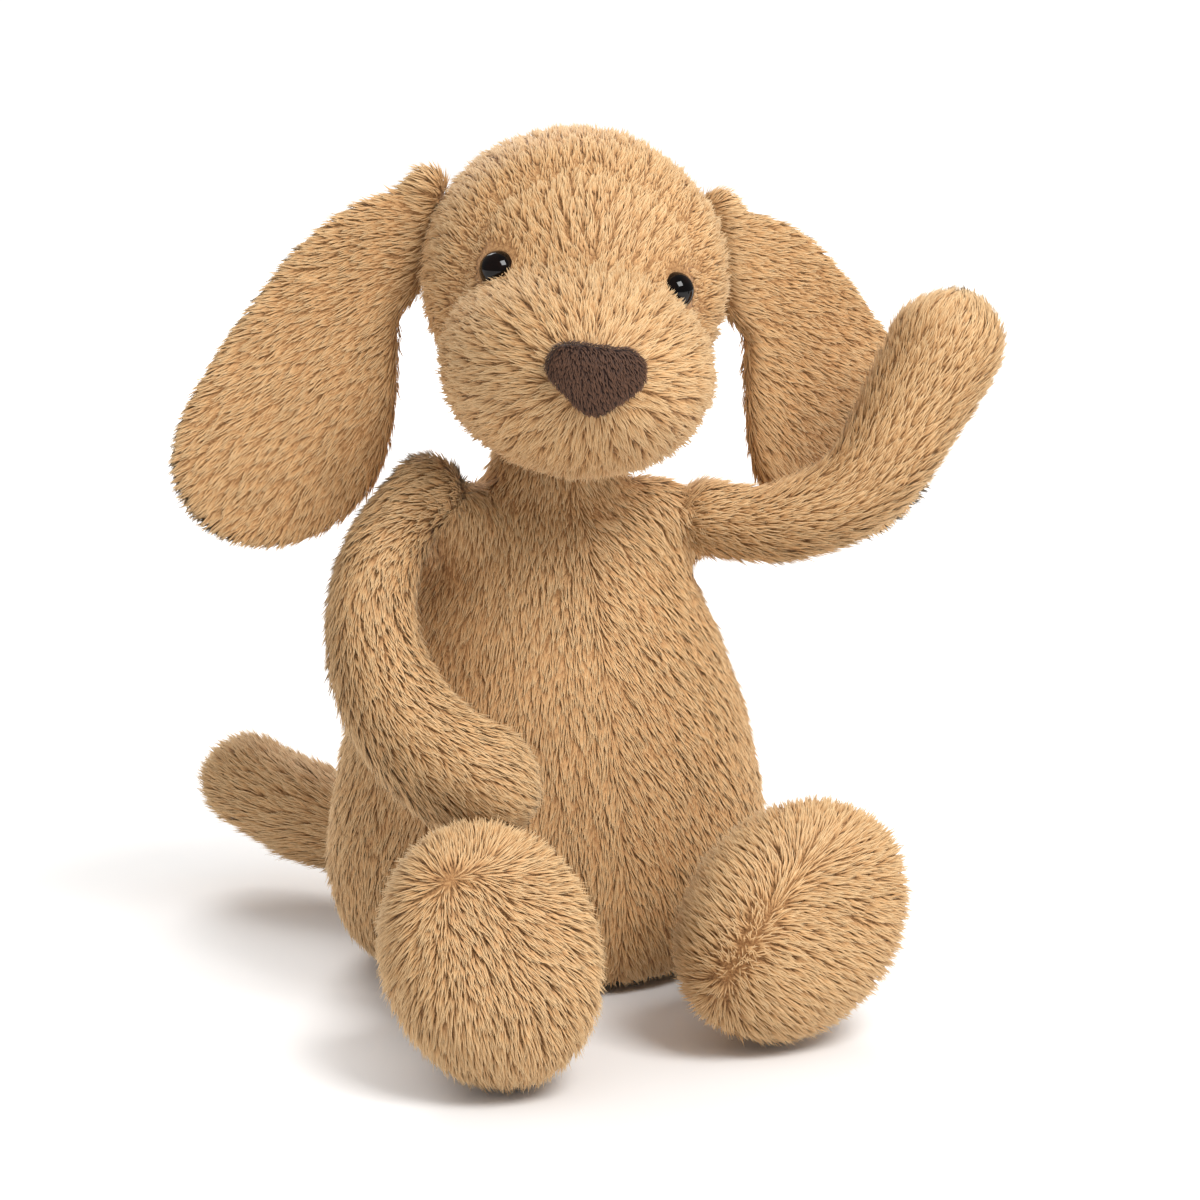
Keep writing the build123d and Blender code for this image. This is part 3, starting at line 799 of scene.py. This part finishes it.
bend = {  # the bodies on either side of the bend, its joint, and the way the limb runs there
    "arm_right": ("upper_arm_right", "paw_right", "elbow_right_bend", (-5, -12, -20)),
    "arm_left": ("upper_arm_left", "paw_left", "elbow_left_bend", (16, -8, 9)),
    "leg_right": ("thigh_right", "foot_right", "ankle_right_tilt", (-9, -24, 4)),
    "leg_left": ("thigh_left", "foot_left", "ankle_left_tilt", (-12, -24, 6)),
}
limb_panels = {"arm": ["upper_arm_{}_skin", "paw_{}_skin"],
               "leg": ["thigh_{}_skin", "foot_{}_upper", "foot_{}_sole"]}
fillings = {"arm": ["upper_arm_{}_stuffing", "paw_{}_stuffing"],
            "leg": ["thigh_{}_stuffing", "foot_{}_beans"]}
for limb, (upper, lower, joint, way) in bend.items():
    kind, side = limb.split("_")
    way = unit(np.array(way, float))
    panels = [panel.format(side) for panel in limb_panels[kind]]
    trees = panel_trees(panels)
    for panel in panels:
        name = panel.replace("_skin", "") + "_pile"
        made = pile(name, forms[limb], fibre, coat[kind], next(seeds), trees, panel)
        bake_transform(made)
        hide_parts(panel)
    finish_padding(limb, None, [filling.format(side) for filling in fillings[kind]])
    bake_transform(forms[limb])

made = pile("tail_pile", forms["tail"], fibre, coat["tail"], next(seeds))
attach(made, "tail")
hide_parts("tail_skin")
finish_padding("tail", "tail", ["tail_stuffing"])

made = pile("nose_pile", forms["nose"], fibre, coat["nose"], next(seeds))
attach(made, "head")
finish_padding("nose", "head", ["nose"])

# ---------------------------------------------------------------- hard and hidden parts

finishes = {**{eye: black_eye for eye in eyes},
            **{node: nylon_washer for node in frame["nodes"] if node.endswith("washer")},
            **{node: seam_thread for node in frame["nodes"] if node.endswith("knot")}}
for node, fabric in finishes.items():
    frame["nodes"][node].data.materials.clear()
    frame["nodes"][node].data.materials.append(fabric)

tag_thick, tag_curl, tag_turn = 0.3 * mm, 0.5 * mm, 2.2


def care_tag():
    """The sewn-in tag: a blank satin ribbon that curls away from the cloth."""
    low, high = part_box("care_label")
    centre, reach = (low + high) / 2, (high - low) / 2
    bm = bmesh.new()
    bmesh.ops.create_grid(bm, x_segments=12, y_segments=8, size=0.5)
    mesh = bpy.data.meshes.new("care_tag")
    long_axis = max(range(3), key=lambda k: reach[k])
    thin_axis = min(range(3), key=lambda k: reach[k])
    other = 3 - long_axis - thin_axis
    for v in bm.verts:
        u, w = v.co.x * 2, v.co.y * 2
        v.co = centre.copy()
        v.co[long_axis] += u * reach[long_axis]
        v.co[other] += w * reach[other]
        v.co[thin_axis] += tag_curl * math.sin(u * tag_turn) * (1 - 0.2 * w)
    bmesh.ops.recalc_face_normals(bm, faces=bm.faces)
    bm.to_mesh(mesh)
    bm.free()
    tag = link_object("care_tag", mesh)
    thick = tag.modifiers.new("thickness", "SOLIDIFY")
    thick.thickness = tag_thick
    thick.offset = 0
    settle(tag)
    tag.data.shade_smooth()
    tag.data.materials.append(ribbon_satin)
    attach(tag, "body")
    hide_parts("care_label")


care_tag()
bpy.data.objects.remove(fibre)

# ---------------------------------------------------------------- floor, light and camera

floor_half = 6.0
own_light_from, own_light_to, own_light = 0.5, 1.6, 0.5  # metres from the puppy, and how strong

def floor_paper(name):
    """Matt coated paper sweep, plain and nearly white, with its own light from further off."""
    made, tree, shader = material(name, 0.6, 1.45)
    patterned(tree, shader, "ShaderNodeTexNoise", {"Scale": 4.0, "Detail": 2.0},
              [(0.3, "#F5F3F1"), (0.7, "#F8F7F6")])
    place = add(tree, "ShaderNodeTexCoord").outputs["Object"]
    away = add(tree, "ShaderNodeVectorMath", {0: place}, operation="LENGTH").outputs["Value"]
    lit = add(tree, "ShaderNodeMapRange", {"Value": away, "From Min": own_light_from,
                                           "From Max": own_light_to, "To Max": own_light})
    shader.inputs["Emission Color"].default_value = colour("#FFFFFF")
    tree.links.new(lit.outputs["Result"], shader.inputs["Emission Strength"])
    return made


bm = bmesh.new()
bmesh.ops.create_grid(bm, x_segments=1, y_segments=1, size=floor_half)
floor_mesh = bpy.data.meshes.new("floor")
bm.to_mesh(floor_mesh)
bm.free()
floor = link_object("floor", floor_mesh)
floor.data.transform(Matrix.Translation((0, 0, cad_box[0].z - 0.1 * mm)))
floor.data.materials.append(floor_paper("paper sweep"))

world = bpy.data.worlds.new("studio")
scene.world = world
world.use_nodes = True
sky = world.node_tree.nodes["Background"]
sky.inputs["Color"].default_value = colour("#FFFFFF")
# white behind the puppy, softer as its fill light, and dim in the gloss of its eyes
tree = world.node_tree
seen = add(tree, "ShaderNodeLightPath").outputs
glow = add(tree, "ShaderNodeMapRange", {"Value": seen["Is Camera Ray"], "To Min": 0.68, "To Max": 1.1})
dimmed = add(tree, "ShaderNodeMapRange", {"Value": seen["Is Glossy Ray"], "To Min": 1.0, "To Max": 0.3})
power = add(tree, "ShaderNodeMath", {0: glow.outputs["Result"], 1: dimmed.outputs["Result"]},
            operation="MULTIPLY")
tree.links.new(power.outputs["Value"], sky.inputs["Strength"])


def softbox(name, place, target, side, energy):
    """A square soft light in this place, turned to its target."""
    lamp = bpy.data.lights.new(name, "AREA")
    lamp.shape = "SQUARE"
    lamp.size = side
    lamp.energy = energy
    obj = bpy.data.objects.new(name, lamp)
    obj.location = place
    obj.rotation_euler = (Vector(target) - Vector(place)).to_track_quat("-Z", "Y").to_euler()
    scene.collection.objects.link(obj)


heart = (0.0, 0.0, 0.1)
softbox("key", (0.3, -1.0, 1.25), heart, 0.7, 20)
softbox("rim", (0.2, 1.2, 1.0), heart, 0.8, 12)

eye_line = bpy.data.cameras.new("camera")
camera = bpy.data.objects.new("camera", eye_line)
scene.collection.objects.link(camera)
azimuth, elevation, distance = math.radians(-24), math.radians(11), 1.1
aim = Vector((14.2, 0.0, 90.1)) * mm
across = math.cos(elevation)
back = Vector((math.sin(azimuth) * across, -math.cos(azimuth) * across, math.sin(elevation)))
camera.location = aim + back * distance
camera.rotation_euler = (-back).to_track_quat("-Z", "Y").to_euler()
eye_line.lens = 132
eye_line.sensor_width = 36
eye_line.clip_start = 0.05
scene.camera = camera
scene.view_settings.view_transform = "Standard"
